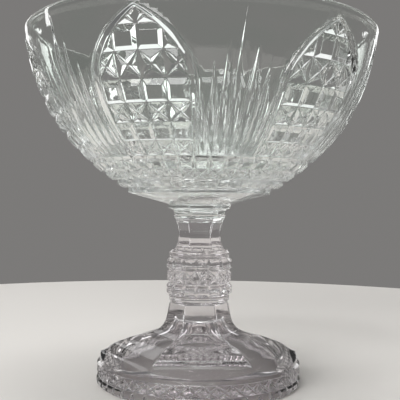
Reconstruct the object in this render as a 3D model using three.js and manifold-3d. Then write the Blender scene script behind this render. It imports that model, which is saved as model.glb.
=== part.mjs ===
// Footed bowl of pressed glass: a patterned bowl, a hexagonal stem with a patterned knop and a domed foot.
// Millimetres, +Z up, origin at the middle of the resting face.
// Angles run from -Y towards +X, so an arched panel of the bowl is centred on -Y.
import * as THREE from "three";
import { mergeVertices } from "three/addons/utils/BufferGeometryUtils.js";
import Module from "manifold-3d";

const wasm = await Module();
wasm.setup();

const HEIGHT = 210;
const PANELS = 6;
const BOWL_COLUMNS = 48;
const KNOP_COLUMNS = 16;
const ROUND = 48;
const FOOT_TURN = -9.5;

// plain outer surface of the bowl, radius and height
const BOWL_WALL = [
  [45.6, 117.4],
  [64.2, 131.2],
  [83.6, 151.6],
  [96.2, 174],
  [102.2, 192.5],
  [105.2, 208],
];
const BAND_TOP = 133;
// heights between the rows of the pattern, and what each row holds
const BOWL_ROWS = [117.4, 121.4, 126.5, BAND_TOP, 140.3, 148.8, 158, 168.8, 181.7, 193.6, 205.5];
const BOWL_KINDS = ["block", "point", "block", "point", "block", "star", "block", "star", "block", "star"];
const GROOVE = 0.9;
const RAISED = 0.9;
const CREST = 1.1;
const BULGE = 6;

// raised frame of an arched panel: half width in degrees and height of its outer and its inner edge
const ARCH_OUTER = [
  [17.2, BAND_TOP],
  [17.4, 146],
  [17.7, 158],
  [17.8, 167.5],
  [15.5, 179],
  [13.5, 184.5],
  [11.1, 190],
  [7, 196],
  [3.9, 200],
  [0, 203.3],
];
const ARCH_INNER = [
  [15, BAND_TOP],
  [15, 146],
  [14.9, 158],
  [14.5, 167.2],
  [13.2, 177.5],
  [11.5, 182.2],
  [9.3, 187.4],
  [5.8, 193.8],
  [3, 198.1],
  [0, 201.2],
];
// its section: share of the way from outer to inner edge, and height over the plain wall
const FRAME_SECTION = [
  [0.13, 1],
  [0.25, 0.45],
  [0.4, 1.2],
  [1, -GROOVE],
];
const FRAME_SINK = 2.3;
const FRAME_DIP = 0.6;
const SEAM_LAP = 0.08;
const MARGIN = 0.2;

const RIBS = 7;
const RIB_PITCH = 3.6;
const RIB_LEAN = 0.013;
const RIB_TIPS = [204.5, 191.3, 180.4, 170];
const RIB_TAPER = 34;
const RIB_RISE = 7;
const RIB_FULL = 1.6;
const FAN_LEVELS = [154];
const PLAIN_ANGLES = [-8, 0, 8];

const WALL = 4.4;
const HOLLOW_LEVELS = [128, 141, 160, 184];
const FLOOR_Z = 117;
const FLOOR_MIDDLE_R = 22;
const FLOOR_EDGE_Z = 119.4;
const FLOOR_EDGE_DEEPER = 1;
const FLOOR_SLOPE = [8, 3.2];
const LIP = 1.7;
const LIP_LAND = 0.4;

// hexagonal underside and collar of the bowl: corner radius and height
const SEAM_TOP = 101.6;
const SEAM_BOTTOM = 99.2;
const UNDERSIDE = [
  [16, SEAM_TOP],
  [16.6, 104.2],
  [19.3, 105.2],
  [19.5, 107.8],
  [45.9, 114.2],
  [47, 118.6],
];

// wafer of glass in the joint: how far it stays inside the collar, and its edge inwards and upwards
const WAFER_INSET = 0.1;
const WAFER_EDGE = [0.9, 0.7];

// hexagonal neck of the pedestal, and the smooth rings of its knop
const NECK = [
  [15.2, SEAM_BOTTOM],
  [14.2, 96.4],
  [13.2, 92],
  [12.9, 88],
  [13.3, 85],
  [14.2, 82],
  [16, 79.2],
];
const KNOP_ROWS = [52.9, 60.2, 68.2, 75.4];
const KNOP_KINDS = ["block", "star", "block"];
const KNOP_GROOVE_R = 18.3;
const KNOP_RAISED = 1.7;
const RING_R = 18.4;
const RING_TOP = 80.2;
const RING_BOTTOM = 48.6;
const RING_EDGE = 1.2;
const RING_NOTCH = 0.9;
const LAP = 0.1;

// hexagonal dome of the foot, its round rim and the hollow below
const DOME = [
  [17.6, 50],
  [18.6, 45.2],
  [20, 38.2],
  [21.6, 34.6],
  [24.8, 31.4],
  [30.4, 29],
  [39.5, 27],
  [46.4, 24.6],
  [52.4, 22.2],
  [58.8, 18.2],
  [68.8, 15.4],
  [73, 13.6],
];
const DOME_EDGE_R = 59.6;
const FOOT_R = 60.4;
const FOOT_ROWS = [0.8, 5.4, 12];
const FOOT_KINDS = ["block", "point"];
const FOOT_RAISED = 1.3;
const FOOT_EDGE_Z = 14.3;
const BASE_INSET = 0.3;
const BASE_EDGE = 0.7;
const HOLLOW = [
  [10.5, 37],
  [13.5, 31.5],
  [21, 26],
  [43.5, 17.6],
  [51, 10.5],
  [54.5, 4],
  [55.5, 0],
];

const radians = THREE.MathUtils.degToRad;

function around(radius, degrees, z) {
  const a = radians(degrees);
  return new THREE.Vector3(radius * Math.sin(a), -radius * Math.cos(a), z);
}

function solidOf(geometry) {
  geometry.deleteAttribute("normal");
  geometry.deleteAttribute("uv");
  const merged = mergeVertices(geometry, 1e-4);
  const whole = [];
  const index = merged.index.array;
  for (let i = 0; i < index.length; i += 3) {
    const [a, b, c] = index.slice(i, i + 3);
    if (a !== b && b !== c && c !== a) whole.push(a, b, c);
  }
  return new wasm.Manifold(
    new wasm.Mesh({
      numProp: 3,
      vertProperties: merged.attributes.position.array,
      triVerts: new Uint32Array(whole),
    }),
  );
}

function solidFromTriangles(corners) {
  return solidOf(new THREE.BufferGeometry().setFromPoints(corners));
}

// A body through equal closed rings of points, from one end to the other, closed by a fan at each end.
function loft(rings) {
  const corners = [];
  const count = rings[0].length;
  for (let i = 0; i + 1 < rings.length; i++) {
    for (let j = 0; j < count; j++) {
      const k = (j + 1) % count;
      corners.push(rings[i][j], rings[i][k], rings[i + 1][k]);
      corners.push(rings[i][j], rings[i + 1][k], rings[i + 1][j]);
    }
  }
  const last = rings[rings.length - 1];
  for (let j = 1; j + 1 < count; j++) {
    corners.push(rings[0][0], rings[0][j + 1], rings[0][j]);
    corners.push(last[0], last[j], last[j + 1]);
  }
  return solidFromTriangles(corners);
}

function ring(count, radius, z, turn) {
  return Array.from({ length: count }, (_, i) => around(radius, turn + (360 / count) * i, z));
}

function prismLoft(outline, count, turn) {
  return loft(outline.map(([radius, z]) => ring(count, radius, z, turn)));
}

function turned(outline, turn = 0) {
  return prismLoft(outline, ROUND, turn);
}

// The wall of the bowl is a smooth curve, with a point at any height and any rise above it.
const wallCurve = new THREE.SplineCurve(BOWL_WALL.map(([radius, z]) => new THREE.Vector2(radius, z)));
const WALL_STEPS = 400;
const wallPoints = wallCurve.getPoints(WALL_STEPS);

function wallAt(z, rise = 0) {
  let i = wallPoints.findIndex((p) => p.y >= z);
  if (i < 1) i = z > BOWL_WALL[0][1] ? WALL_STEPS : 1;
  const [low, high] = [wallPoints[i - 1], wallPoints[i]];
  const share = (z - low.y) / (high.y - low.y);
  const along = high.clone().sub(low).normalize();
  return [low.x + share * (high.x - low.x) + rise * along.y, z - rise * along.x];
}

// A patterned body has rows of raised blocks, points and crossed stars between V grooves.
// place(column, z, rise) gives a position; a block has wide bevels, a point is a pyramid,
// a star has four leaves parted by two crossed grooves.
const BEVEL = { side: 0.17, top: 0.27, bottom: 0.18 };
const LEAF = 0.3;
const STAR_HEART = 0.35;

function cellTriangles(at, kind, raised) {
  const rim = [at(0, 0, 0), at(1, 0, 0), at(1, 1, 0), at(0, 1, 0)];
  if (kind === "flat") return [rim[0], rim[1], rim[2], rim[0], rim[2], rim[3]];
  const corners = [];
  if (kind === "block") {
    const { side, top, bottom } = BEVEL;
    const face = [
      at(side, bottom, raised),
      at(1 - side, bottom, raised),
      at(1 - side, 1 - top, raised),
      at(side, 1 - top, raised),
    ];
    corners.push(face[0], face[1], face[2], face[0], face[2], face[3]);
    rim.forEach((p, i) => {
      const j = (i + 1) % 4;
      corners.push(p, rim[j], face[j], p, face[j], face[i]);
    });
    return corners;
  }
  if (kind === "point") {
    const tip = at(0.5, 0.5, raised);
    rim.forEach((p, i) => corners.push(p, rim[(i + 1) % 4], tip));
    return corners;
  }
  const heart = at(0.5, 0.5, raised * STAR_HEART);
  const leaves = [
    at(0.5, LEAF, raised),
    at(1 - LEAF, 0.5, raised),
    at(0.5, 1 - LEAF, raised),
    at(LEAF, 0.5, raised),
  ];
  rim.forEach((p, i) => {
    const j = (i + 1) % 4;
    corners.push(p, rim[j], leaves[i], p, leaves[i], heart, leaves[i], rim[j], heart);
  });
  return corners;
}

// The body reaches in to the axis; an open one is closed there by its two side walls.
function patternedBody(columns, levels, kinds, place, raised, bulge = 0, open = false) {
  const corners = [];
  const last = levels.length - 1;
  const hubs = levels.map((z, row) => {
    const lift = row === 0 ? -bulge : row === last ? bulge : 0;
    return new THREE.Vector3(0, 0, place(0, z, 0).z + lift);
  });
  for (let i = 0; i + 1 < columns.length; i++) {
    const wide = columns[i + 1] - columns[i];
    for (let row = 0; row < last; row++) {
      const tall = levels[row + 1] - levels[row];
      const at = (u, v, rise) => place(columns[i] + u * wide, levels[row] + v * tall, rise);
      corners.push(...cellTriangles(at, wide < 1 ? "flat" : kinds[row], raised));
    }
    const [low, high] = [levels[0], levels[last]];
    corners.push(place(columns[i + 1], low, 0), place(columns[i], low, 0), hubs[0]);
    corners.push(place(columns[i], high, 0), place(columns[i + 1], high, 0), hubs[last]);
  }
  if (open) {
    for (let row = 0; row < last; row++) {
      [columns[columns.length - 1], columns[0]].forEach((column, side) => {
        const low = place(column, levels[row], 0);
        const high = place(column, levels[row + 1], 0);
        const wall = [low, hubs[row], hubs[row + 1], low, hubs[row + 1], high];
        corners.push(...(side ? wall.reverse() : wall));
      });
    }
  }
  return solidFromTriangles(corners);
}

function upTo(count) {
  return Array.from({ length: count + 1 }, (_, i) => i);
}

const columnAngle = 360 / BOWL_COLUMNS;
const panelAngle = 360 / PANELS;

function bowlPlace(column, z, rise) {
  const [radius, height] = wallAt(z, rise - GROOVE);
  return around(radius, column * columnAngle, height);
}

const bandRows = BOWL_ROWS.indexOf(BAND_TOP);

function lowBand() {
  const levels = BOWL_ROWS.slice(0, bandRows + 1);
  const kinds = BOWL_KINDS.slice(0, bandRows);
  return patternedBody(upTo(BOWL_COLUMNS), levels, kinds, bowlPlace, GROOVE + RAISED, BULGE);
}

// The cells of one panel, with a flat margin on each side that runs under the frame.
function panelField(middle) {
  const columns = [-2 - MARGIN, -2, -1, 0, 1, 2, 2 + MARGIN].map((c) => c + middle / columnAngle);
  const levels = BOWL_ROWS.slice(bandRows);
  return patternedBody(columns, levels, BOWL_KINDS.slice(bandRows), bowlPlace, GROOVE + RAISED, BULGE, true);
}

// A wedge through the wall of an arched panel; its outline runs under the middle of the frame.
function archWindow(middle, margin) {
  const [near, far] = [BOWL_WALL[0][0] / 4, HEIGHT];
  const seam = ARCH_OUTER.map(([half, z], i) => [(half + ARCH_INNER[i][0]) / 2, (z + ARCH_INNER[i][1]) / 2]);
  const rings = [[seam[0][0], BAND_TOP - BULGE], ...seam].map(([half, z]) => {
    const wide = half + margin;
    return [
      around(near, middle - wide, z + margin),
      around(far, middle - wide, z + margin),
      around(far, middle + wide, z + margin),
      around(near, middle + wide, z + margin),
    ];
  });
  return loft(rings);
}

// The raised frame of a panel: two crests with a notch between them and a wide slope to the cells.
function archFrame(middle) {
  const stations = ARCH_OUTER.map((outer, i) => [outer, ARCH_INNER[i]]);
  const turnedOver = ([half, z]) => [-half, z];
  const path = [...stations.map((edges) => edges.map(turnedOver)), ...stations.slice(0, -1).reverse()];
  const section = [...FRAME_SECTION, [0.5, -FRAME_SINK], [0, 0]];
  const rings = path.map((edges, i) => {
    const dip = i === 0 || i === path.length - 1 ? FRAME_DIP : 0;
    return section.map(([share, rise]) => {
      const [half, z] = [0, 1].map((k) => edges[0][k] + share * (edges[1][k] - edges[0][k]));
      const [radius, height] = wallAt(z, rise);
      return around(radius, middle + half, height - dip);
    });
  });
  return loft(rings);
}

// Three lines of one rib of a fan at one height: edge, crest, edge. The rib narrows to a point at its tip.
function ribLines(fan, step, z) {
  const tip = RIB_TIPS[Math.abs(step)];
  const foot = (z - BAND_TOP) / RIB_RISE;
  const share = THREE.MathUtils.clamp((tip - z) / RIB_TAPER, 0, 1);
  const pitch = RIB_PITCH + RIB_LEAN * (Math.min(z, tip) - BAND_TOP);
  const half = (pitch / 2) * THREE.MathUtils.clamp(foot, 0, share);
  const crest = CREST * THREE.MathUtils.clamp(foot, 0, Math.min(1, RIB_FULL * share));
  const line = (offset, rise) => {
    const [radius, height] = wallAt(z, rise);
    return around(radius, fan + step * pitch + offset, height);
  };
  return [line(-half, 0), line(0, crest), line(half, 0)];
}

// The plain wall with its fans of ribs, solid to the axis.
function fannedWall(lip) {
  const levels = [BAND_TOP, BAND_TOP + RIB_RISE, ...FAN_LEVELS, ...[...RIB_TIPS].reverse()];
  const around6 = (sector) => upTo(PANELS - 1).flatMap((i) => sector(i * panelAngle));
  const rings = levels.map((z) => {
    const [radius, height] = wallAt(z);
    return around6((middle) => [
      ...PLAIN_ANGLES.map((a) => around(radius, middle + a, height)),
      ...upTo(RIBS - 1).flatMap((i) => ribLines(middle + panelAngle / 2, i - (RIBS - 1) / 2, z)),
    ]);
  });
  const lipRings = lip.map(([radius, z]) =>
    rings[rings.length - 1].map((p) => around(radius, THREE.MathUtils.radToDeg(Math.atan2(p.x, -p.y)), z)),
  );
  return loft([...rings, ...lipRings]);
}

function bowlSolid() {
  const lipZ = HEIGHT - LIP;
  const lipMiddle = wallAt(lipZ)[0] - LIP - LIP_LAND;
  const arc = (side, from, to) =>
    [0, 1, 2].map((i) => {
      const a = radians(from + ((to - from) * i) / 2);
      return [lipMiddle + side * LIP_LAND + LIP * Math.cos(a), lipZ + LIP * Math.sin(a)];
    });
  const hollowWall = HOLLOW_LEVELS.map((z) => wallAt(z, -GROOVE - WALL));
  const floorEdge = wallAt(FLOOR_EDGE_Z, -GROOVE - WALL - FLOOR_EDGE_DEEPER);
  const hollow = turned([
    [FLOOR_MIDDLE_R, FLOOR_Z],
    [floorEdge[0] - FLOOR_SLOPE[0], floorEdge[1] - FLOOR_SLOPE[1]],
    floorEdge,
    ...hollowWall,
    ...arc(-1, 180, 90),
    [lipMiddle - LIP_LAND, HEIGHT + LIP],
  ]);

  const middles = upTo(PANELS - 1).map((i) => i * panelAngle);
  const wall = fannedWall(arc(1, 0, 90)).subtract(wasm.Manifold.union(middles.map((m) => archWindow(m, 0))));
  const fields = middles.map((m) => panelField(m).intersect(archWindow(m, SEAM_LAP)));
  const frames = middles.map(archFrame);
  const underside = prismLoft(UNDERSIDE, PANELS, 0);
  return wasm.Manifold.union([wall, lowBand(), underside, ...fields, ...frames]).subtract(hollow);
}

function pedestalSolid() {
  const round = (outline) => turned(outline, FOOT_TURN);
  const knopTurn = 360 / KNOP_COLUMNS;
  const knopPlace = (column, z, rise) => around(KNOP_GROOVE_R + rise, FOOT_TURN + column * knopTurn, z);
  const knop = patternedBody(upTo(KNOP_COLUMNS), KNOP_ROWS, KNOP_KINDS, knopPlace, KNOP_RAISED);
  const [knopFoot, knopTop] = [KNOP_ROWS[0], KNOP_ROWS[KNOP_ROWS.length - 1]];
  const rings = round([
    [RING_R - RING_EDGE, RING_BOTTOM],
    [RING_R, RING_BOTTOM + RING_EDGE],
    [RING_R, knopFoot - RING_NOTCH],
    [RING_R - RING_NOTCH, knopFoot + LAP],
    [RING_R - RING_NOTCH, knopTop - LAP],
    [RING_R, knopTop + RING_NOTCH],
    [RING_R, RING_TOP - RING_EDGE],
    [RING_R - RING_EDGE, RING_TOP],
  ]);
  const neck = prismLoft([...NECK].reverse(), PANELS, FOOT_TURN);
  const dome = prismLoft([...DOME].reverse(), PANELS, FOOT_TURN).intersect(
    round([
      [DOME_EDGE_R, 0],
      [DOME_EDGE_R, KNOP_ROWS[0]],
    ]),
  );
  const footTurn = 360 / BOWL_COLUMNS;
  const footPlace = (column, z, rise) => around(FOOT_R + rise, FOOT_TURN + column * footTurn, z);
  const band = patternedBody(upTo(BOWL_COLUMNS), FOOT_ROWS, FOOT_KINDS, footPlace, FOOT_RAISED);
  const bandTop = FOOT_ROWS[FOOT_ROWS.length - 1];
  const base = round([
    [FOOT_R - BASE_INSET - BASE_EDGE, 0],
    [FOOT_R - BASE_INSET, BASE_EDGE],
    [FOOT_R - BASE_INSET, bandTop - LAP],
    [FOOT_R + FOOT_RAISED - BASE_INSET, bandTop + BASE_INSET],
    [DOME_EDGE_R, FOOT_EDGE_Z],
  ]);
  const below = [HOLLOW[HOLLOW.length - 1][0], -BASE_EDGE];
  const hollow = round([below, ...[...HOLLOW].reverse()]);
  return wasm.Manifold.union([knop, rings, neck, dome, band, base]).subtract(hollow);
}

function waferSolid() {
  const radius = UNDERSIDE[0][0] - WAFER_INSET;
  const [inset, height] = WAFER_EDGE;
  return turned([
    [radius - inset, SEAM_BOTTOM],
    [radius, SEAM_BOTTOM + height],
    [radius, SEAM_TOP - height],
    [radius - inset, SEAM_TOP],
  ]);
}

function meshOf(name, solid, colour) {
  const { vertProperties, triVerts } = solid.getMesh();
  const geometry = new THREE.BufferGeometry();
  geometry.setAttribute("position", new THREE.BufferAttribute(vertProperties, 3));
  geometry.setIndex(new THREE.BufferAttribute(triVerts, 1));
  geometry.computeVertexNormals();
  const material = new THREE.MeshStandardMaterial({ color: colour, roughness: 0.04, metalness: 0 });
  const mesh = new THREE.Mesh(geometry, material);
  mesh.name = name;
  return mesh;
}

const part = new THREE.Group();
part.name = "pedestal_bowl";
part.add(meshOf("bowl", bowlSolid(), 0xb4bab0));
part.add(meshOf("joining_wafer", waferSolid(), 0xd2dcd2));
part.add(meshOf("pedestal", pedestalSolid(), 0xa89f98));

export default part;
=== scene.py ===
import math

import bpy
import numpy as np
from mathutils import Matrix, Vector
from mathutils.geometry import delaunay_2d_cdt


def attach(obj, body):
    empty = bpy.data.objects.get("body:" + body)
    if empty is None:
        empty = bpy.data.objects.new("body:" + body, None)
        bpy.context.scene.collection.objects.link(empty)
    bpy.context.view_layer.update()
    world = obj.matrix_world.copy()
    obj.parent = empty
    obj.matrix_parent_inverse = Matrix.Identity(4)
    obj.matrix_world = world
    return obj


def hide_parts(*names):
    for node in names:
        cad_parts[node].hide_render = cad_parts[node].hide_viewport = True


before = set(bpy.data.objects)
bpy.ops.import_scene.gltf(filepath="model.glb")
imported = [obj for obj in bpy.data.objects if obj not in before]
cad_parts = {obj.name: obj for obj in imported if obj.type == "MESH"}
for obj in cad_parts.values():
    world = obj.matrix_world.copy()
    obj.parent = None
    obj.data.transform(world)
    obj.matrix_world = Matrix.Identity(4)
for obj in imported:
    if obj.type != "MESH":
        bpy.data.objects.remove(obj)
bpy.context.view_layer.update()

# Sizes are in millimetres and degrees, and a profile is a list of (radius, height).
# The bowl and the hexagons repeat every sixth of a turn, and each sixth mirrors about its middle.
SIXTH = 60.0
TWELFTH = 30.0
FOOT_TURN = -9.5

# Bowl: its wall, the rows of its pattern and the form of one cell, as in the solids
HEIGHT = 210.0
BOWL_WALL = [(45.6, 117.4), (64.2, 131.2), (83.6, 151.6), (96.2, 174), (102.2, 192.5), (105.2, 208)]
BAND_TOP = 133.0
BOWL_ROWS = [117.4, 121.4, 126.5, BAND_TOP, 140.3, 148.8, 158, 168.8, 181.7, 193.6, 205.5]
BOWL_KINDS = ["block", "star"] * 5
COLUMN = 7.5
GROOVE = 0.9
RAISED = 0.9
BEVEL = {"side": 0.17, "top": 0.27, "bottom": 0.18}
LEAF = 0.3
STAR_HEART = 0.35

# Arched panels: the right half of the frame's two edges as (degrees, height), and its section
ARCH_OUTER = [
    (17.2, 133), (17.4, 147), (17.6, 156), (17.8, 165), (17.6, 169.5), (16.9, 174), (15.7, 178.5),
    (14.3, 182.5), (12.6, 186.7), (10.8, 190.5), (9, 193.4), (7, 196), (5, 198.7), (2.9, 200.9), (0, 203.3),
]
ARCH_INNER = [
    (15, 133), (15, 147), (15, 155), (14.7, 163), (14.4, 169.5), (13.9, 174), (13, 178.3), (11.4, 182.4),
    (9.6, 186.8), (7.5, 190.8), (6, 193.5), (3.7, 197.1), (1.3, 200.4), (0, 201.8),
]
FRAME_SECTION = [(0, 0), (0.13, 1.0), (0.25, 0.45), (0.4, 1.2), (1, -GROOVE)]
FIELD_SLOPE = 0.8
BAND_SLOPE = 1.2

# Fans of ribs: heights of the tips, from the middle rib outwards
RIB_TIPS = [204.5, 191.3, 180.4, 170]
RIB_PITCH = 3.6
RIB_LEAN = 0.013
RIB_TAPER = 34
RIB_FULL = 1.6
RIB_FOOT_Z = 140.5
RIB_FOOT_TALL = 6
CREST = 1.1

# Lip, inside and underside of the bowl
LIP = 1.7
LIP_LAND = 0.4
LIP_STEPS = 8
WALL = 4.4
BOTTOM = BOWL_ROWS[0]
TOP = HEIGHT - LIP
INNER_LEVELS = [203, 197, 187, 176, 166, 157, 148, 141, 135, 130, 126, 122.5]
FLOOR_Z = 117.0
FLOOR_EDGE_Z = 119.4
FLOOR_EDGE_DEEPER = 1
FLOOR_SLOPE = (-8, -3.2)
FLOOR = [(24, FLOOR_Z + 0.5), (12, FLOOR_Z), (4, FLOOR_Z)]
SEAM_TOP = 101.6
UNDERSIDE = [(15.9, SEAM_TOP), (16.5, 104.2), (19.3, 105.2), (19.5, 107.8), (45.6, 114.4), (45.9, 117.1)]
UNDERSIDE_WIDEST = 44.2
COLLAR_SEAM_R = 15.6
# Rows under the band: millimetres past the underside's edge, height and least radius
BAND_STEP = [(0.25, 117.35, 0), (0.3, 117.5, 44.5)]

# Joining bead
SEAM_BOTTOM = 99.2
BEAD_BOTTOM = 99.22
BEAD_TOP = 101.58
BEAD = [(15.0, BEAD_BOTTOM), (15.95, 99.9), (15.95, 100.9), (15.0, BEAD_TOP)]
BEAD_SEAM_WIDEST = 14.95
NECK_R = 15.2
COLLAR_R = 15.9

# Pedestal: hollow foot from the inside outwards, dome, knop and neck
HOLLOW = [
    (0.01, 37.4), (5, 37.3), (10.5, 37), (13.5, 31.5), (20, 26.4), (32, 22.4), (43.5, 17.6), (51, 10.5),
    (54.5, 4), (55.5, 0),
]
HOLLOW_SMALLEST_R = 1
RESTING_R = 55.9
# Rows of the foot's lowest edge: radius, height, and the normal's outward and upward part
BASE = [(59.2, 0, 0, -1), (59.7, 0.1, 0.5, -0.87), (60.1, 0.5, 0.9, -0.45)]
FOOT_COLUMNS = 48
FOOT_ROWS = [0.8, 5.4, 12]
FOOT_KINDS = ["block", "star"]
FOOT_R = 60.4
FOOT_RAISED = 1.3
DOME_EDGE_R = 59.6
FOOT_EDGE_Z = 14.3
CHAMFER = [
    (FOOT_R + 0.1, FOOT_ROWS[-1] + 0.05), (FOOT_R + FOOT_RAISED - 0.2, FOOT_ROWS[-1] + 0.5),
    (FOOT_R + FOOT_RAISED - 0.3, FOOT_ROWS[-1] + 0.9), (DOME_EDGE_R + 0.05, FOOT_EDGE_Z),
    (DOME_EDGE_R, FOOT_EDGE_Z + 0.4),
]
DOME = [
    (17.6, 50), (18.6, 45.2), (20, 38.2), (21.6, 34.6), (24.8, 31.4), (30.4, 29), (39.5, 27), (46.4, 24.6),
    (52.4, 22.2), (58.8, 18.2), (68.8, 15.4), (73, 13.6),
]
DOME_EDGE_DROP = 0.35
DOME_EDGE_CUT = 0.08
KNOP_COLUMNS = 16
KNOP_ROWS = [52.9, 60.2, 68.2, 75.4]
KNOP_KINDS = ["block", "star", "block"]
KNOP_R = 18.3
KNOP_RAISED = 1.7
RING_R = 18.4
LOWER_RING = [(17.3, 48.6), (17.4, 48.65), (RING_R, 49.6), (RING_R, 52.0), (17.7, 52.75), (18.2, 52.85)]
UPPER_RING = [(18.2, 75.45), (17.7, 75.6), (RING_R, 76.3), (RING_R, 78.7), (17.3, 80.1), (16.4, 80.3)]
NECK = [(16, 79.2), (14.2, 82), (13.3, 85), (12.9, 88), (13.2, 92), (14.2, 96.4), (NECK_R, SEAM_BOTTOM)]
NECK_START = 80.35

# Roundness: radius of the disc over which fire polishing evens out ridges, and of rounded profiles
SOFT = 0.32
FRAME_SOFT = 0.22
BAND_SOFT = 0.3
PROFILE_SOFT = 0.5
CHAMFER_SOFT = 0.4
UPPER_RING_SOFT = 0.6
BOWL_CORNER_BLUR = 1.2
PEDESTAL_CORNER_BLUR = 1.3

# Fineness of the meshes; cuts are shares of a cell's width or height, up to its middle
WALL_STEPS = 80
ARCH_STEPS = 4
INSIDE_STEPS = 3
HOLLOW_STEPS = 5
NECK_STEPS = 6
DOME_STEPS = 12
DOME_KNOP_STEP = 8
DOME_SHARES = np.concatenate([[0, 0.006, 0.02], np.linspace(0.05, 1, 56)])
BLUR_SAMPLES = 9
LONGEST_CUT = 0.45
FINE_CUTS = [0, 0.04, 0.08, 0.13, 0.17, 0.21, 0.26, 0.3, 0.34, 0.4, 0.46, 0.5]
COARSE_CUTS = [0, 0.05, 0.12, 0.17, 0.22, 0.3, 0.36, 0.44, 0.5]
EVEN_ANGLES = np.arange(0, 360, 2.5)
ROUND_ANGLES = np.arange(0, 360, 2.0)
CORNER_OFFSETS = np.array([-1.6, -1.1, -0.7, -0.35, 0.35, 0.7, 1.1, 1.6])
CORNER_ANGLES = np.concatenate([ROUND_ANGLES] + [SIXTH * k + CORNER_OFFSETS for k in range(6)])
FINE_ANGLES = np.unique(CORNER_ANGLES % 360)

# Small steps to each side from which slopes are taken: degrees, then height or share of the way
CORNER_PROBE = 0.05
BOWL_PROBE = (0.03, 0.04)
BAND_PROBE = (0.05, 0.04)
DOME_PROBE = (0.1, 0.004)

UP = (0, 0, 1)
DOWN = (0, 0, -1)


# Curves and small helpers
def spline(points, per):
    """A smooth curve through the points, per steps to each gap."""
    knots = np.array(points, float)
    t = np.linspace(0, 1, per, endpoint=False)[:, None]
    parts = []
    for i in range(len(knots) - 1):
        p0, p1, p2, p3 = knots[max(i - 1, 0)], knots[i], knots[i + 1], knots[min(i + 2, len(knots) - 1)]
        v0, v1 = (p2 - p0) / 2, (p3 - p1) / 2
        cubic = (2 * p1 - 2 * p2 + v0 + v1) * t**3
        square = (3 * p2 - 3 * p1 - 2 * v0 - v1) * t**2
        parts.append(cubic + square + v0 * t + p1)
    return np.concatenate(parts + [knots[-1:]])


def unit(vectors):
    """The rows of an array, each brought to a length of one."""
    return vectors / np.linalg.norm(vectors, axis=1)[:, None]


def run_of(line):
    """Distance along a line from its start to each of its points."""
    return np.concatenate([[0], np.cumsum(np.linalg.norm(np.diff(line, axis=0), axis=1))])


def spin(degrees):
    """Matrix of a turn about the upright axis."""
    a = math.radians(degrees)
    return np.array([[math.cos(a), -math.sin(a), 0], [math.sin(a), math.cos(a), 0], [0, 0, 1]])


def around(radius, degrees, z):
    """Points at an angle that starts from -Y and runs towards +X."""
    a = np.radians(degrees)
    return np.stack([radius * np.sin(a), -radius * np.cos(a), z + 0 * a], -1)


wall_line = spline(BOWL_WALL, WALL_STEPS)
wall_tangent = unit(np.gradient(wall_line, axis=0))
arch_outer = spline(ARCH_OUTER, ARCH_STEPS)
arch_inner = spline(ARCH_INNER, ARCH_STEPS)


def wall_at(z, rise=0.0):
    """Radius and height of the place that lies above or below the plain wall by rise."""
    z = np.asarray(z, float)
    radius = np.interp(z, wall_line[:, 1], wall_line[:, 0])
    along_r = np.interp(z, wall_line[:, 1], wall_tangent[:, 0])
    along_z = np.interp(z, wall_line[:, 1], wall_tangent[:, 1])
    return radius + rise * along_z, z - rise * along_r


def metric(z):
    """Millimetres on the wall for one degree round it, and for one millimetre of height."""
    radius = np.interp(z, wall_line[:, 1], wall_line[:, 0])
    steep = np.interp(z, wall_line[:, 1], wall_tangent[:, 1])
    return np.radians(radius), 1 / steep


def half_width(curve, z):
    """Degrees from a panel's middle to one edge of its frame."""
    return np.where(z > curve[-1, 1], 0, np.interp(z, curve[:, 1], curve[:, 0]))


def distance_to(curve, phi, z):
    """Distance on the wall, in millimetres, from each point to a curve of (degrees, height)."""
    per_degree, per_height = metric(z)
    best = np.full(np.shape(phi), 1e9)
    px, py = phi * per_degree, z * per_height
    for a, b in zip(curve[:-1], curve[1:]):
        ax, ay = a[0] * per_degree, a[1] * per_height
        dx, dy = b[0] * per_degree - ax, b[1] * per_height - ay
        share = np.clip(((px - ax) * dx + (py - ay) * dy) / (dx * dx + dy * dy), 0, 1)
        best = np.minimum(best, np.hypot(px - ax - share * dx, py - ay - share * dy))
    return best


# The pattern as a height above the plain wall
def cell_height(kind, u, v):
    """Height of a cell of the pattern from 0 in its grooves to 1, u and v running over the cell."""
    if kind == "block":
        across = np.minimum(u, 1 - u) / BEVEL["side"]
        upright = np.minimum(v / BEVEL["bottom"], (1 - v) / BEVEL["top"])
        return np.clip(np.minimum(across, upright), 0, 1)
    a, b = np.abs(u - 0.5), np.abs(v - 0.5)
    near, far = np.minimum(a, b), np.maximum(a, b)
    outside = (0.5 - far) / LEAF
    tip = 0.5 - LEAF
    rise = (1 - STAR_HEART) / tip
    inside = STAR_HEART + rise * far - (2 * STAR_HEART + rise) * near
    return np.clip(np.minimum(outside, inside), 0, 1)


def rows_height(levels, kinds, u, z):
    """Height of the rows of cells between the levels, from 0 to 1."""
    height = np.zeros(np.shape(z))
    for low, high, kind in zip(levels, levels[1:], kinds):
        here = (z >= low) & (z <= high)
        height[here] = cell_height(kind, u[here], (z[here] - low) / (high - low))
    return height


def rib_pitch(z):
    """Degrees from one rib of a fan to the next."""
    return RIB_PITCH + RIB_LEAN * (z - BAND_TOP)


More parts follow.
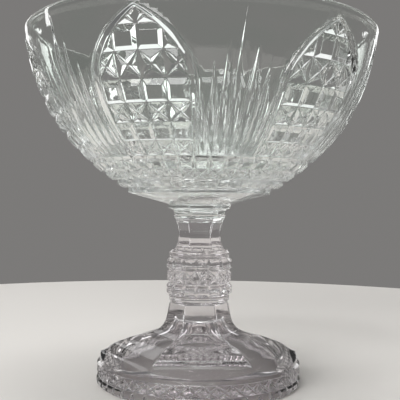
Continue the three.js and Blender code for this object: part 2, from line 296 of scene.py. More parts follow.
def ribs_height(phi, z):
    """Rise of half a fan, whose middle rib is a twelfth of a turn from the panel's middle."""
    pitch = rib_pitch(z)
    step = np.clip(np.round((TWELFTH - phi) / pitch), 0, len(RIB_TIPS) - 1).astype(int)
    tip = np.array(RIB_TIPS)[step]
    share = np.clip((tip - z) / RIB_TAPER, 0, 1)
    offset = np.abs(phi - (TWELFTH - step * pitch))
    half = np.maximum(pitch / 2 * share, 1e-6)
    crest = CREST * np.minimum(1, RIB_FULL * share)
    sunk = CREST * np.clip((RIB_FOOT_Z - z) / RIB_FOOT_TALL, 0, 1)
    return np.maximum(0, crest * (1 - (offset / half) ** 2) - sunk)


def bowl_relief(phi, z):
    """Rise of the bowl's outer face above its plain wall; phi is in degrees from a panel's middle."""
    phi = np.abs((phi + TWELFTH) % SIXTH - TWELFTH)
    u = (phi / COLUMN) % 1
    cells = -GROOVE + (GROOVE + RAISED) * rows_height(BOWL_ROWS, BOWL_KINDS, u, z)
    out_gap = distance_to(arch_outer, phi, z)
    in_gap = distance_to(arch_inner, phi, z)
    t = out_gap / np.maximum(out_gap + in_gap, 1e-9)
    framed = np.interp(t, *zip(*FRAME_SECTION))
    field = np.minimum(cells, -GROOVE + FIELD_SLOPE * in_gap)
    inside = phi < half_width(arch_inner, z)
    within = phi < half_width(arch_outer, z)
    high = np.where(inside, field, np.where(within, framed, ribs_height(phi, z)))
    step = -GROOVE + BAND_SLOPE * (z - BAND_TOP) * metric(z)[1]
    return np.where(z < BAND_TOP, cells, np.minimum(high, step))


def softened(height, per_degree, per_height, reach):
    """height averaged over a small disc, which rounds every ridge and groove as fire polishing does."""
    halfway = [k * math.pi / 3 for k in range(6)]
    outmost = [(k + 0.5) * math.pi / 6 for k in range(12)]
    spots = [(0, 0)] + [(0.5 * math.cos(a), 0.5 * math.sin(a)) for a in halfway]
    spots += [(math.cos(a), math.sin(a)) for a in outmost]

    def blurred(phi, z):
        wide, tall = per_degree(z), per_height(z)
        total = sum(height(phi + reach * x / wide, z + reach * y / tall) for x, y in spots)
        return total / len(spots)

    return blurred


bowl_height = softened(bowl_relief, lambda z: metric(z)[0], lambda z: metric(z)[1], SOFT)


def bowl_point(phi, z):
    radius, height = wall_at(z, bowl_height(phi, z))
    return around(radius, phi, height)


def with_normals(point, phi, z, gap_phi, gap_z):
    """Points of a face and its outward normals, found by small steps to each side."""
    round_it = point(phi + gap_phi, z) - point(phi - gap_phi, z)
    up_it = point(phi, z + gap_z) - point(phi, z - gap_z)
    return point(phi, z), unit(np.cross(round_it, up_it))


# Meshes
class Skin:
    """Collects points, normals and faces of one closed body."""

    def __init__(self):
        self.points, self.normals, self.faces, self.joined, self.count = [], [], [], [], 0

    def add(self, points, normals):
        """Adds points and returns their indices."""
        self.points.append(np.asarray(points, float))
        self.normals.append(np.asarray(normals, float))
        first = self.count
        self.count += len(points)
        return np.arange(first, self.count)

    def face(self, *corners):
        self.faces.append(tuple(int(c) for c in corners))

    def strip(self, low, high):
        """Faces between two rings with the same number of points; low is below or before high."""
        n = len(low)
        for i in range(n):
            j = (i + 1) % n
            self.face(low[i], low[j], high[j], high[i])

    def strips(self, rings):
        """Faces between each ring and the next."""
        for low, high in zip(rings, rings[1:]):
            self.strip(low, high)

    def zipper(self, low, high, low_phi, high_phi):
        """Faces between two closed rings with different points, each sorted by its angle from 0 to 360."""
        i = j = 0
        n, m = len(low), len(high)
        a = np.append(low_phi, low_phi[0] + 360)
        b = np.append(high_phi, high_phi[0] + 360)
        while i < n or j < m:
            if j == m or (i < n and a[i + 1] <= b[j + 1]):
                self.face(low[i % n], low[(i + 1) % n], high[j % m])
                i += 1
            else:
                self.face(low[i % n], high[(j + 1) % m], high[j % m])
                j += 1

    def fan(self, ring, z, facing, joint=False):
        """Closes a ring with triangles to the axis; a joint's triangles lie hidden in the fused glass."""
        hub = self.add([(0, 0, z)], [facing])[0]
        if joint:
            self.joined.append((len(self.faces), len(self.faces) + len(ring)))
        n = len(ring)
        for i in range(n):
            j = (i + 1) % n
            if facing == UP:
                self.face(ring[i], ring[j], hub)
            else:
                self.face(ring[j], ring[i], hub)

    def turn(self, degrees):
        """Turns all that was added about the upright axis."""
        self.points = [p @ spin(degrees).T for p in self.points]
        self.normals = [n @ spin(degrees).T for n in self.normals]

    def build(self, name, material, slot, node):
        """Makes the mesh in metres and puts it in the place of the node's solid."""
        points = np.concatenate(self.points) / 1000
        normals = np.concatenate(self.normals)
        mesh = bpy.data.meshes.new(name)
        mesh.from_pydata(points.tolist(), [], self.faces)
        if mesh.validate():
            print(name, "had faults that validate() mended", flush=True)
        mesh.update()
        mesh.polygons.foreach_set("use_smooth", np.ones(len(mesh.polygons), bool))
        mesh.normals_split_custom_set_from_vertices(normals.tolist())
        mesh.materials.append(material)
        mesh.materials.append(fused_face)
        for first, last in self.joined:
            for i in range(first, last):
                mesh.polygons[i].material_index = 1
        piece = bpy.data.objects.new(name, mesh)
        bpy.context.scene.collection.objects.link(piece)
        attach(piece, "root")
        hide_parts(node)


def rounded(profile, reach, steps=4):
    """Rows of a profile with its inner corners rounded: radius, z and the normal, to the right of travel."""
    corners = [np.array(p, float) for p in profile]
    rows = []

    def normal(direction):
        return np.array([direction[1], -direction[0]]) / np.linalg.norm(direction)

    rows.append((*corners[0], *normal(corners[1] - corners[0])))
    for before, corner, after in zip(corners, corners[1:], corners[2:]):
        into, out = corner - before, after - corner
        cut = min(reach, LONGEST_CUT * np.linalg.norm(into), LONGEST_CUT * np.linalg.norm(out))
        start = corner - into / np.linalg.norm(into) * cut
        stop = corner + out / np.linalg.norm(out) * cut
        for k in range(steps + 1):
            t = k / steps
            p = (1 - t) ** 2 * start + 2 * t * (1 - t) * corner + t**2 * stop
            way = (1 - t) * (corner - start) + t * (stop - corner)
            rows.append((*p, *normal(way)))
    rows.append((*corners[-1], *normal(corners[-1] - corners[-2])))
    return rows


def rows_along(line):
    """Rows of a smooth profile: radius, z and the normal, to the right of travel."""
    return [(p[0], p[1], w[1], -w[0]) for p, w in zip(line, unit(np.gradient(line, axis=0)))]


def round_shape(phi):
    return np.ones(len(phi)), np.zeros(len(phi))


def hexagon(turn, blur):
    """A hexagon with softened corners: share of the corner radius at an angle, and its change per radian."""
    blurs = np.linspace(-blur, blur, BLUR_SAMPLES)
    probe = CORNER_PROBE

    def share(phi):
        sides = [(phi + d - turn) % SIXTH - TWELFTH for d in blurs]
        return sum(math.cos(math.pi / 6) / np.cos(np.radians(side)) for side in sides) / len(blurs)

    def shape(phi):
        return share(phi), (share(phi + probe) - share(phi - probe)) / math.radians(2 * probe)

    return shape


def lathe(skin, rows, phi, shape=round_shape, widest=1e9):
    """Rings of points for the rows of a profile; returns the rings' indices."""
    s, slope = shape(phi)
    a = np.radians(phi)
    out = np.stack([np.sin(a), -np.cos(a), 0 * a], 1)
    side = np.stack([np.cos(a), np.sin(a), 0 * a], 1)
    rings = []
    for radius, z, across, along in rows:
        points = out * np.minimum(radius * s, widest)[:, None] + np.array([0, 0, z])
        lean = np.where(radius * s < widest, slope / s, 0)
        normals = across * (out - side * lean[:, None]) + (s * along)[:, None] * np.array(UP)
        rings.append(skin.add(points, unit(normals)))
    return rings


# Plan of the bowl's outer face: a twelfth, cut along every ridge and groove.
# Steps and gaps are in millimetres on the wall, and margins in degrees.
CREASE_STEP = 2.0
FRAME_STEP = 1.1
FRAME_OUTER_STEPS = 12
FRAME_INNER_STEPS = 40
FRAME_FILL = (0.6, 0.8)
FRAME_MARGIN = 0.1
FIELD_STEP = 1.2
FIELD_GAPS = (0.7, 1.4, 2.1)
FIELD_MARGIN = 0.25
BAND_LINES = (BAND_TOP, BAND_TOP + 0.75)
RIB_HEIGHTS = np.linspace(BAND_TOP + 0.3, 204, 60)
LOOSE_ANGLES = np.arange(0.6, TWELFTH, 1.2)
LOOSE_HEIGHTS = np.arange(BAND_TOP + 2, TOP, 2.1)
LOOSE_MARGIN = 0.4
LOOSE_SHIFT = 0.3
BORDER_HEIGHTS = np.linspace(BOTTOM, TOP, 46)
BORDER_ANGLES = np.linspace(0, TWELFTH, 31)
LIP_LINES = (TOP - 1, TOP - 2.2, TOP - 3.6)


def unrolled(line):
    """A line of (degrees, height) in millimetres, with the wall's measure taken at its average."""
    per_degree, per_height = metric(line[:, 1])
    return line * np.array([per_degree.mean(), per_height.mean()])


class Plan:
    """Points and edges of one twelfth of the bowl as (degrees, height)."""

    NEAR = 0.01
    SNAP = 2e-3
    SCALE = np.array([1.5, 1.15])

    def __init__(self):
        self.points, self.edges = [], []

    def polyline(self, line, keep=None):
        """Adds the points that lie in the sector, and an edge between neighbours that both do."""
        line = np.array(line, float)
        inside = (line[:, 0] > -self.NEAR) & (line[:, 0] < TWELFTH + self.NEAR)
        inside &= (line[:, 1] > BOTTOM - self.NEAR) & (line[:, 1] < TOP + self.NEAR)
        if keep is not None:
            inside &= keep(line)
        line[:, 0] = np.clip(line[:, 0], 0, TWELFTH)
        line[:, 1] = np.clip(line[:, 1], BOTTOM, TOP)
        joined = False
        for spot, here in zip(line.tolist(), inside):
            if here and joined:
                self.edges.append((len(self.points) - 1, len(self.points)))
            if here:
                self.points.append(spot)
            joined = here

    def crease(self, line, keep=None, step=CREASE_STEP, sides=(-1, 0, 1), reach=SOFT):
        """Adds a line in even steps, moved by reach to each of the sides."""
        line = np.array(line, float)
        along = run_of(unrolled(line))
        if along[-1] < 1e-6:
            return
        at = np.linspace(0, along[-1], max(2, int(math.ceil(along[-1] / step)) + 1))
        line = np.stack([np.interp(at, along, line[:, k]) for k in (0, 1)], 1)
        per_degree, per_height = metric(line[:, 1])
        way = unit(np.gradient(unrolled(line), axis=0))
        across = np.stack([-way[:, 1] / per_degree, way[:, 0] / per_height], 1)
        for side in sides:
            self.polyline(line + side * reach * across, keep)

    def triangulated(self):
        """Points and triangles of the plan, with its border snapped to the sector's."""
        spots = [Vector((phi * self.SCALE[0], z * self.SCALE[1])) for phi, z in self.points]
        made = delaunay_2d_cdt(spots, self.edges, [], 0, 1e-3)
        flat = np.array([tuple(v) for v in made[0]]) / self.SCALE
        for values, low, high in ((flat[:, 0], 0, TWELFTH), (flat[:, 1], BOTTOM, TOP)):
            values[values < low + self.SNAP] = low
            values[values > high - self.SNAP] = high
        triangles = np.array([tuple(f) for f in made[2] if len(f) == 3])
        a, b, c = (flat[triangles[:, k]] for k in range(3))
        turn = (b[:, 0] - a[:, 0]) * (c[:, 1] - a[:, 1]) - (b[:, 1] - a[:, 1]) * (c[:, 0] - a[:, 0])
        solid = np.abs(turn) > 1e-9
        triangles, turn = triangles[solid], turn[solid]
        triangles[turn < 0] = triangles[turn < 0][:, ::-1]
        return flat, triangles


def in_field(line):
    """Which points lie inside the frame, or hardly outside its inner edge."""
    return line[:, 0] < half_width(arch_inner, line[:, 1]) + FIELD_MARGIN


def clear_of_frame(line):
    """Which points lie outside the frame, or hardly inside its outer edge."""
    return line[:, 0] > half_width(arch_outer, line[:, 1]) - FRAME_MARGIN


def cell_creases(kind):
    """Creases inside a cell as pairs of spots, which run from 0 to 1 across it and up it."""
    rim = [(0, 0), (1, 0), (1, 1), (0, 1)]
    if kind == "block":
        side, bottom, top = BEVEL["side"], BEVEL["bottom"], 1 - BEVEL["top"]
        face = [(side, bottom), (1 - side, bottom), (1 - side, top), (side, top)]
        return [(face[i], face[(i + 1) % 4]) for i in range(4)] + list(zip(rim, face))
    heart = (0.5, 0.5)
    leaves = [(0.5, LEAF), (1 - LEAF, 0.5), (0.5, 1 - LEAF), (LEAF, 0.5)]
    creases = []
    for i, leaf in enumerate(leaves):
        creases += [(rim[i], leaf), (leaf, rim[(i + 1) % 4]), (leaf, heart), (rim[i], heart)]
    return creases


def plan_cells(plan):
    """Blocks and stars: all round in the band, and as far as the frame in the panel."""
    for low, high, kind in zip(BOWL_ROWS, BOWL_ROWS[1:], BOWL_KINDS):
        banded = high <= BAND_TOP
        keep = None if banded else in_field
        border = [((0, 0), (1, 0)), ((0, 0), (0, 1)), ((1, 0), (1, 1))]
        if not banded:
            border.append(((0, 1), (1, 1)))
        reach = TWELFTH if banded else ARCH_INNER[0][0]
        for column in range(int(reach / COLUMN)):
            left = column * COLUMN
            for crease in border + cell_creases(kind):
                plan.crease([(left + u * COLUMN, low + v * (high - low)) for u, v in crease], keep)
            if kind == "block":
                plan.polyline([(left + 0.5 * COLUMN, low + 0.5 * (high - low))])
    for z in BAND_LINES:
        plan.crease([(0, z), (TWELFTH, z)])


def plan_frame(plan):
    """Lines between the frame's outer and inner edge, and three along the field inside it."""
    outer = spline(ARCH_OUTER, FRAME_OUTER_STEPS)
    inner = spline(ARCH_INNER, FRAME_INNER_STEPS)
    per_degree, per_height = metric(outer[:, 1])
    wide = (inner[None, :, 0] - outer[:, None, 0]) * per_degree[:, None]
    tall = (inner[None, :, 1] - outer[:, None, 1]) * per_height[:, None]
    partner = inner[np.argmin(np.hypot(wide, tall), 1)]
    for t, _ in FRAME_SECTION:
        plan.crease((1 - t) * outer + t * partner, step=FRAME_STEP, reach=FRAME_SOFT)
    for t in FRAME_FILL:
        plan.polyline(((1 - t) * outer + t * partner)[::2])
    for gap in FIELD_GAPS:
        plan.crease(inner, keep=in_field, step=FIELD_STEP, sides=(1,), reach=gap)


def plan_ribs(plan):
    """Crests and edges of the ribs, and loose points between them."""
    for step, tip in enumerate(RIB_TIPS):
        z = RIB_HEIGHTS[RIB_HEIGHTS < tip]
        pitch = rib_pitch(z)
        middle = TWELFTH - step * pitch
        share = np.clip((tip - z) / RIB_TAPER, 0, 1)
        for side in (0, -1, 1):
            plan.crease(np.stack([middle + side * pitch / 2 * share, z], 1), clear_of_frame)
    for phi in LOOSE_ANGLES:
        for z in LOOSE_HEIGHTS:
            if phi > half_width(arch_outer, z) + LOOSE_MARGIN:
                plan.polyline([(phi + LOOSE_SHIFT * ((z * 7) % 1), z)])


def plan_border(plan):
    """The sector's border, and three lines under the lip."""
    for phi in (0, TWELFTH):
        plan.polyline([(phi, z) for z in BORDER_HEIGHTS])
    for z in (TOP, BOTTOM, *LIP_LINES):
        plan.polyline([(phi, z) for phi in BORDER_ANGLES])


# Bowl
def bowl_outside(skin):
    """Adds the outer face, each second sector mirrored; returns the points' indices and (degrees, height)."""
    plan = Plan()
    for draw in (plan_cells, plan_frame, plan_ribs, plan_border):
        draw(plan)
    flat, triangles = plan.triangulated()
    phi, z = flat[:, 0], flat[:, 1]
    points, normals = with_normals(bowl_point, phi, z, *BOWL_PROBE)
    fineness = 10000
    z_keys = np.round(z * fineness).astype(int)
    known, where, spots, ways, faces = {}, [], [], [], []
    for sector in range(12):
        mirrored = sector % 2 == 1
        start = SIXTH * ((sector + 1) // 2)
        full = (start - phi if mirrored else start + phi) % 360
        phi_keys = np.round(full * fineness).astype(int) % (360 * fineness)
        own = np.empty(len(phi), int)
        fresh = []
        for i, key in enumerate(zip(phi_keys, z_keys)):
            if key not in known:
                known[key] = len(where)
                where.append((key[0] / fineness, z[i]))
                fresh.append(i)
            own[i] = known[key]
        flip = np.array([-1 if mirrored else 1, 1, 1])
        spots.append((points[fresh] * flip) @ spin(start).T)
        ways.append((normals[fresh] * flip) @ spin(start).T)
        part = own[triangles]
        faces.append(part[:, ::-1] if mirrored else part)
    ids = skin.add(np.concatenate(spots), np.concatenate(ways))
    for a, b, c in np.concatenate(faces):
        if a != b and b != c and c != a:
            skin.face(a, b, c)
    return ids, np.array(where)


def bowl_inside(skin, top, phi):
    """Adds the lip, the inner wall and the floor above the ring at the lip's foot."""
    lip_middle = float(wall_at(TOP)[0]) - LIP - LIP_LAND
    rows = []
    for centre, start, first in ((lip_middle + LIP_LAND, 0, 1), (lip_middle - LIP_LAND, 90, 0)):
        for k in range(first, LIP_STEPS + 1):
            t = math.radians(start + 90 * k / LIP_STEPS)
            rows.append((centre + LIP * math.cos(t), TOP + LIP * math.sin(t), math.cos(t), math.sin(t)))
    lip_end = (lip_middle - LIP_LAND - LIP, TOP)
    depth = -GROOVE - WALL
    inner_wall = [wall_at(z, depth) for z in INNER_LEVELS]
    floor_edge = np.array(wall_at(FLOOR_EDGE_Z, depth - FLOOR_EDGE_DEEPER))
    line = spline([lip_end] + inner_wall + [floor_edge, floor_edge + FLOOR_SLOPE] + FLOOR, INSIDE_STEPS)
    rings = [top] + lathe(skin, rows + rows_along(line)[1:], phi)
    skin.strips(rings)
    skin.fan(rings[-1], FLOOR_Z, UP)


def bowl_underside(skin, bottom, phi):
    """Adds the hexagonal collar and underside below the wall's lowest ring."""
    shape = hexagon(0, BOWL_CORNER_BLUR)
    rings = lathe(skin, rounded(UNDERSIDE, PROFILE_SOFT), phi, shape, UNDERSIDE_WIDEST)
    seam = lathe(skin, [(COLLAR_SEAM_R, SEAM_TOP, 0, -1)], phi, shape)[0]
    skin.fan(seam, SEAM_TOP, DOWN, joint=True)
    skin.strip(seam, rings[0])
    edge_r = np.minimum(UNDERSIDE[-1][0] * shape(phi)[0], UNDERSIDE_WIDEST)
    down = np.tile(DOWN, (len(phi), 1))
    for wider, z, least in BAND_STEP:
        rings.append(skin.add(around(np.maximum(edge_r + wider, least), phi, z), down))
    skin.strips(rings + [bottom])


def bowl_skin():
    skin = Skin()
    ids, where = bowl_outside(skin)

    def ring_at(level):
        ring = ids[np.abs(where[:, 1] - level) < 1e-6]
        return ring[np.argsort(where[ring, 0])]

    top, bottom = ring_at(TOP), ring_at(BOTTOM)
    bowl_inside(skin, top, where[top, 0])
    bowl_underside(skin, bottom, where[bottom, 0])
    return skin


# Pedestal
def patterned_band(skin, columns, levels, kinds, radius, raised, half_cuts):
    """Rings of a band of cells round a cylinder; returns the rings and their angles."""
    wide = 360 / columns
    cuts = np.array(half_cuts + [1 - x for x in half_cuts[-2::-1]])
    phi = np.concatenate([(i + cuts[:-1]) * wide for i in range(columns)])
    rows = [low + (high - low) * cuts for low, high in zip(levels, levels[1:])]
    z = np.unique(np.concatenate(rows).round(6))

    def relief(p, h):
        return raised * rows_height(levels, kinds, (p / wide) % 1, np.clip(h, levels[0], levels[-1]))

    height = softened(relief, lambda h: math.radians(radius), lambda h: 1, BAND_SOFT)

    def point(p, h):
        return around(radius + height(p, h), p, h)

    narrow = len(cuts) - 1
    grid_phi, grid_z = np.meshgrid(phi[:narrow], z)
    points, normals = with_normals(point, grid_phi.ravel(), grid_z.ravel(), *BAND_PROBE)
    points = points.reshape(len(z), narrow, 3)
    normals = normals.reshape(len(z), narrow, 3)
    points = np.concatenate([points @ spin(i * wide).T for i in range(columns)], 1)
    normals = np.concatenate([normals @ spin(i * wide).T for i in range(columns)], 1)
    rings = [skin.add(p, n) for p, n in zip(points, normals)]
    for row, (low, high) in enumerate(zip(rings, rings[1:])):
        middle = (z[row] + z[row + 1]) / 2
        level = np.searchsorted(levels, middle) - 1
        upper = (middle - levels[level]) / (levels[level + 1] - levels[level]) > 0.5
        for i in range(len(low)):
            j = (i + 1) % len(low)
            beyond = (i % narrow) >= narrow / 2
            if upper == beyond:
                skin.face(low[i], low[j], high[j])
                skin.face(low[i], high[j], high[i])
            else:
                skin.face(low[i], low[j], high[i])
                skin.face(low[j], high[j], high[i])
    return rings, phi


def foot_hollow(skin):
    """Adds the hollow, from its top down to the resting face; returns its last ring."""
    line = spline(HOLLOW, HOLLOW_STEPS)
    rows = rows_along(line[line[:, 0] > HOLLOW_SMALLEST_R]) + [(RESTING_R, 0, 0, -1)]
    rings = lathe(skin, rows, EVEN_ANGLES)
    skin.fan(rings[0], rows[0][1], DOWN)
    skin.strips(rings)
    return rings[-1]


def foot_edge(skin, resting):
    """Adds the foot's patterned edge round the hollow's last ring; returns its top ring and angles."""
    band, phi = patterned_band(skin, FOOT_COLUMNS, FOOT_ROWS, FOOT_KINDS, FOOT_R, FOOT_RAISED, COARSE_CUTS)
    base = lathe(skin, BASE, phi)
    skin.zipper(resting, base[0], EVEN_ANGLES, phi)
    skin.strips(base + [band[0]])
    chamfer = lathe(skin, rounded(CHAMFER, CHAMFER_SOFT), phi)
    skin.strips([band[-1]] + chamfer)
    return chamfer[-1], phi


def foot_dome(skin, edge, edge_phi, share_at):
    """Adds the hexagonal dome, cut off by the round edge; returns its ring under the knop."""
    curve = spline(DOME, DOME_STEPS)
    run = run_of(curve)
    under_knop = run[DOME_KNOP_STEP]

    def dome_point(phi, t):
        """t is 0 at the round edge and 1 under the knop."""
        share = share_at(phi)[0]
        at_edge = np.interp(DOME_EDGE_R / share, curve[:, 0], run)
        at = (1 - t) * at_edge + t * under_knop
        return around(np.interp(at, run, curve[:, 0]) * share, phi, np.interp(at, run, curve[:, 1]))

    rings = []
    for t in DOME_SHARES:
        shares = np.full(len(FINE_ANGLES), t)
        points, normals = with_normals(dome_point, FINE_ANGLES, shares, *DOME_PROBE)
        if t == 0:
            outward = points * np.array([1, 1, 0]) / DOME_EDGE_R
            rings.append(skin.add(points - np.array([0, 0, DOME_EDGE_DROP]), outward))
            normals = unit(normals + outward)
            points = points - DOME_EDGE_CUT * normals
        rings.append(skin.add(points, normals))
    skin.zipper(edge, rings[0], edge_phi, FINE_ANGLES)
    skin.strips(rings)
    return rings[-1]


def knop(skin, below):
    """Adds the patterned knop between its two rings; returns its top ring and angles."""
    band, phi = patterned_band(skin, KNOP_COLUMNS, KNOP_ROWS, KNOP_KINDS, KNOP_R, KNOP_RAISED, FINE_CUTS)
    lower = lathe(skin, rounded(LOWER_RING, PROFILE_SOFT), phi)
    skin.zipper(below, lower[0], FINE_ANGLES, phi)
    skin.strips(lower + [band[0]])
    upper = lathe(skin, rounded(UPPER_RING, UPPER_RING_SOFT), phi)
    skin.strips([band[-1]] + upper)
    return upper[-1], phi


def neck(skin, below, below_phi, share_at):
    """Adds the hexagonal neck up to the fused joint."""
    rows = [row for row in rows_along(spline(NECK, NECK_STEPS)) if row[1] > NECK_START]
    rings = lathe(skin, rows, FINE_ANGLES, share_at)
    skin.zipper(below, rings[0], below_phi, FINE_ANGLES)
    skin.strips(rings)
    skin.fan(rings[-1], SEAM_BOTTOM, UP, joint=True)


def pedestal_skin():
    skin = Skin()
    share_at = hexagon(0, PEDESTAL_CORNER_BLUR)
    edge, edge_phi = foot_edge(skin, foot_hollow(skin))
    top, top_phi = knop(skin, foot_dome(skin, edge, edge_phi, share_at))
    neck(skin, top, top_phi, share_at)
    skin.turn(FOOT_TURN)
    return skin


# Joining bead
def bead_skin():
    skin = Skin()
    rings = lathe(skin, rounded(BEAD, PROFILE_SOFT), ROUND_ANGLES)
    skin.strips(rings)
    neck_shape = hexagon(FOOT_TURN, PEDESTAL_CORNER_BLUR)
    collar_shape = hexagon(0, PEDESTAL_CORNER_BLUR)
    below = lathe(skin, [(NECK_R, BEAD_BOTTOM, 0, -1)], ROUND_ANGLES, neck_shape, BEAD_SEAM_WIDEST)[0]
    above = lathe(skin, [(COLLAR_R, BEAD_TOP, 0, 1)], ROUND_ANGLES, collar_shape, BEAD_SEAM_WIDEST)[0]
    skin.strip(below, rings[0])
    skin.strip(rings[-1], above)
    skin.fan(below, BEAD_BOTTOM, DOWN, joint=True)
    skin.fan(above, BEAD_TOP, UP, joint=True)
    return skin


# Materials
GLASS_IOR = 1.52
TINT_SCALE = (26.0, 26.0, 60.0)
PALE_STOP = 0.35
DEEP_STOP = 0.68
MARK_SCALE = (220, 220, 900)
CLEAN_STOP = 0.45
WORN_STOP = 0.8
CLEAN_ROUGHNESS = 0.012
WORN_ROUGHNESS = 0.05
WAVE_SCALE = 230.0
WAVE_STRENGTH = 0.6
WAVE_DEPTH = 0.00003


def shader(name):
    material = bpy.data.materials.new(name)
    material.use_nodes = True
    tree = material.node_tree
    return material, tree, tree.nodes["Principled BSDF"]


def glass(name, pale, deep):
    """Pressed glass: a faint tint that drifts through it, a skin with slight waves and fine marks."""
    material, tree, principled = shader(name)
    principled.inputs["Transmission Weight"].default_value = 1
    principled.inputs["IOR"].default_value = GLASS_IOR
    nodes, links = tree.nodes, tree.links
    where = nodes.new("ShaderNodeTexCoord")

    def noise(detail, scale=1.0, stretch=(1, 1, 1)):
        moved = nodes.new("ShaderNodeMapping")
        moved.inputs["Scale"].default_value = stretch
        made = nodes.new("ShaderNodeTexNoise")
        made.inputs["Scale"].default_value = scale
        made.inputs["Detail"].default_value = detail
        links.new(where.outputs["Object"], moved.inputs["Vector"])
        links.new(moved.outputs["Vector"], made.inputs["Vector"])
        return made.outputs["Fac"]

    def ramp(source, *stops):
        made = nodes.new("ShaderNodeValToRGB")
        links.new(source, made.inputs[0])
        for element, (position, colour) in zip(made.color_ramp.elements, stops):
            element.position = position
            element.color = (*colour, 1)
        return made.outputs[0]

    tint = ramp(noise(detail=3, stretch=TINT_SCALE), (PALE_STOP, pale), (DEEP_STOP, deep))
    links.new(tint, principled.inputs["Base Color"])
    marks = noise(detail=6, stretch=MARK_SCALE)
    worn = ramp(marks, (CLEAN_STOP, (CLEAN_ROUGHNESS,) * 3), (WORN_STOP, (WORN_ROUGHNESS,) * 3))
    links.new(worn, principled.inputs["Roughness"])
    bump = nodes.new("ShaderNodeBump")
    bump.inputs["Strength"].default_value = WAVE_STRENGTH
    bump.inputs["Distance"].default_value = WAVE_DEPTH
    links.new(noise(detail=2, scale=WAVE_SCALE), bump.inputs["Height"])
    links.new(bump.outputs["Normal"], principled.inputs["Normal"])
    return material


def clear_face(name):
    """A face inside the fused joint, which light passes as if it weren't there."""
    material, tree, principled = shader(name)
    tree.nodes.remove(principled)
    clear = tree.nodes.new("ShaderNodeBsdfTransparent")
    tree.links.new(clear.outputs[0], tree.nodes["Material Output"].inputs["Surface"])
    return material


fused_face = clear_face("fused_face")
bowl_glass = glass("bowl_glass", (0.93, 0.95, 0.935), (0.88, 0.935, 0.90))
wafer_glass = glass("wafer_glass", (0.93, 0.96, 0.94), (0.87, 0.93, 0.89))
pedestal_glass = glass("pedestal_glass", (0.93, 0.91, 0.92), (0.86, 0.82, 0.845))
bowl_skin().build("pressed_bowl", bowl_glass, "bowl_glass", "bowl")
pedestal_skin().build("pressed_pedestal", pedestal_glass, "pedestal_glass", "pedestal")
bead_skin().build("joining_bead", wafer_glass, "wafer_glass", "joining_wafer")

# Studio, in metres: light settings, floor, room, lamps and camera
TABLE_R = 0.525
FLOOR_COLOUR = (0.66, 0.64, 0.61, 1)
ROOM_LOW = (0.3, (0.2, 0.195, 0.19, 1))
ROOM_HIGH = (0.5, (0.12, 0.12, 0.125, 1))
LAMP_AIM = (0, 0, 0.12)
LAMP_AZIMUTH = 18
AZIMUTH = math.radians(18.05)
DISTANCE = 0.424
EYE = 0.1103
FOCAL = 62.19
SENSOR = 36
ROLL = math.radians(0.6)

scene = bpy.context.scene
scene.view_settings.view_transform = "Standard"
scene.cycles.max_bounces = 32
scene.cycles.transmission_bounces = 32
scene.cycles.glossy_bounces = 16
scene.cycles.transparent_max_bounces = 16


def add_floor():
    """A pale matt floor without sheen, which would mirror the front lamp as a white patch."""
    bpy.ops.mesh.primitive_circle_add(vertices=192, radius=TABLE_R, fill_type="NGON")
    floor = bpy.context.object
    floor.name = "floor"
    material, _, principled = shader("floor_finish")
    principled.inputs["Base Color"].default_value = FLOOR_COLOUR
    principled.inputs["Roughness"].default_value = 1.0
    principled.inputs["Specular IOR Level"].default_value = 0.0
    floor.data.materials.append(material)


def add_room():
    """A plain grey world, lighter below and darker above."""
    world = bpy.data.worlds.new("studio")
    scene.world = world
    world.use_nodes = True
    tree = world.node_tree
    where = tree.nodes.new("ShaderNodeTexCoord")
    split = tree.nodes.new("ShaderNodeSeparateXYZ")
    ramp = tree.nodes.new("ShaderNodeValToRGB")
    tree.links.new(where.outputs["Generated"], split.inputs[0])
    tree.links.new(split.outputs["Z"], ramp.inputs[0])
    tree.links.new(ramp.outputs[0], tree.nodes["Background"].inputs["Color"])
    for stop, (position, colour) in zip(ramp.color_ramp.elements, (ROOM_LOW, ROOM_HIGH)):
        stop.position = position
        stop.color = colour


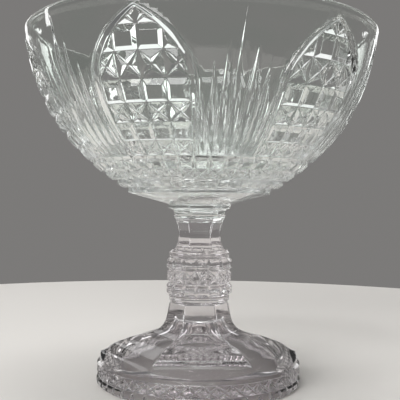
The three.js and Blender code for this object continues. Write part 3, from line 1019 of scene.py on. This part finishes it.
def softbox(name, where, size, watts, through=True):
    """An area lamp aimed at the bowl; through says whether rays that passed the glass can see it."""
    lamp = bpy.data.lights.new(name, "AREA")
    lamp.shape = "RECTANGLE"
    lamp.size, lamp.size_y = size
    lamp.energy = watts
    placed = bpy.data.objects.new(name, lamp)
    scene.collection.objects.link(placed)
    placed.location = where
    placed.visible_camera = False
    placed.visible_transmission = through
    placed.rotation_euler = (Vector(LAMP_AIM) - Vector(where)).to_track_quat("-Z", "Y").to_euler()


def round_about(degrees, distance, height):
    """A place at this angle from the camera's side of the bowl, positive to its right."""
    a = math.radians(LAMP_AZIMUTH + degrees)
    return (distance * math.sin(a), -distance * math.cos(a), height)


def add_lamps():
    softbox("softbox_front", round_about(-24, 1.7, 0.75), size=(1.6, 1.1), watts=36, through=False)
    softbox("softbox_left", round_about(-107, 1.9, 0.75), size=(0.14, 0.9), watts=3, through=False)
    softbox("softbox_rear_left", round_about(-150.5, 1.9, 0.56), size=(0.42, 0.7), watts=1.5)
    softbox("softbox_rear_right", round_about(150.5, 1.9, 0.5), size=(0.42, 0.5), watts=1.1)
    softbox("softbox_rear_top", round_about(180, 1.8, 1.5), size=(2.4, 0.8), watts=6)
    softbox("softbox_top", (0.0, 0.2, 2.0), size=(1.5, 1.3), watts=10, through=False)
    softbox("softbox_above", (0.0, 0.1, 1.9), size=(0.8, 0.8), watts=8)
    softbox("softbox_key", round_about(-30, 1.1, 1.9), size=(0.4, 0.4), watts=7)


def add_camera():
    """A level camera at the photograph's viewing angle, rolled slightly as the photograph is."""
    back = Vector((math.sin(AZIMUTH), -math.cos(AZIMUTH), 0))
    up = Vector(UP)
    camera = bpy.data.cameras.new("camera")
    camera.lens = FOCAL
    camera.sensor_width = SENSOR
    placed = bpy.data.objects.new("camera", camera)
    scene.collection.objects.link(placed)
    facing = Matrix((up.cross(back), up, back)).transposed().to_4x4()
    place = Matrix.Translation(back * DISTANCE + up * EYE)
    placed.matrix_world = place @ facing @ Matrix.Rotation(ROLL, 4, "Z")
    scene.camera = placed


add_floor()
add_room()
add_lamps()
add_camera()
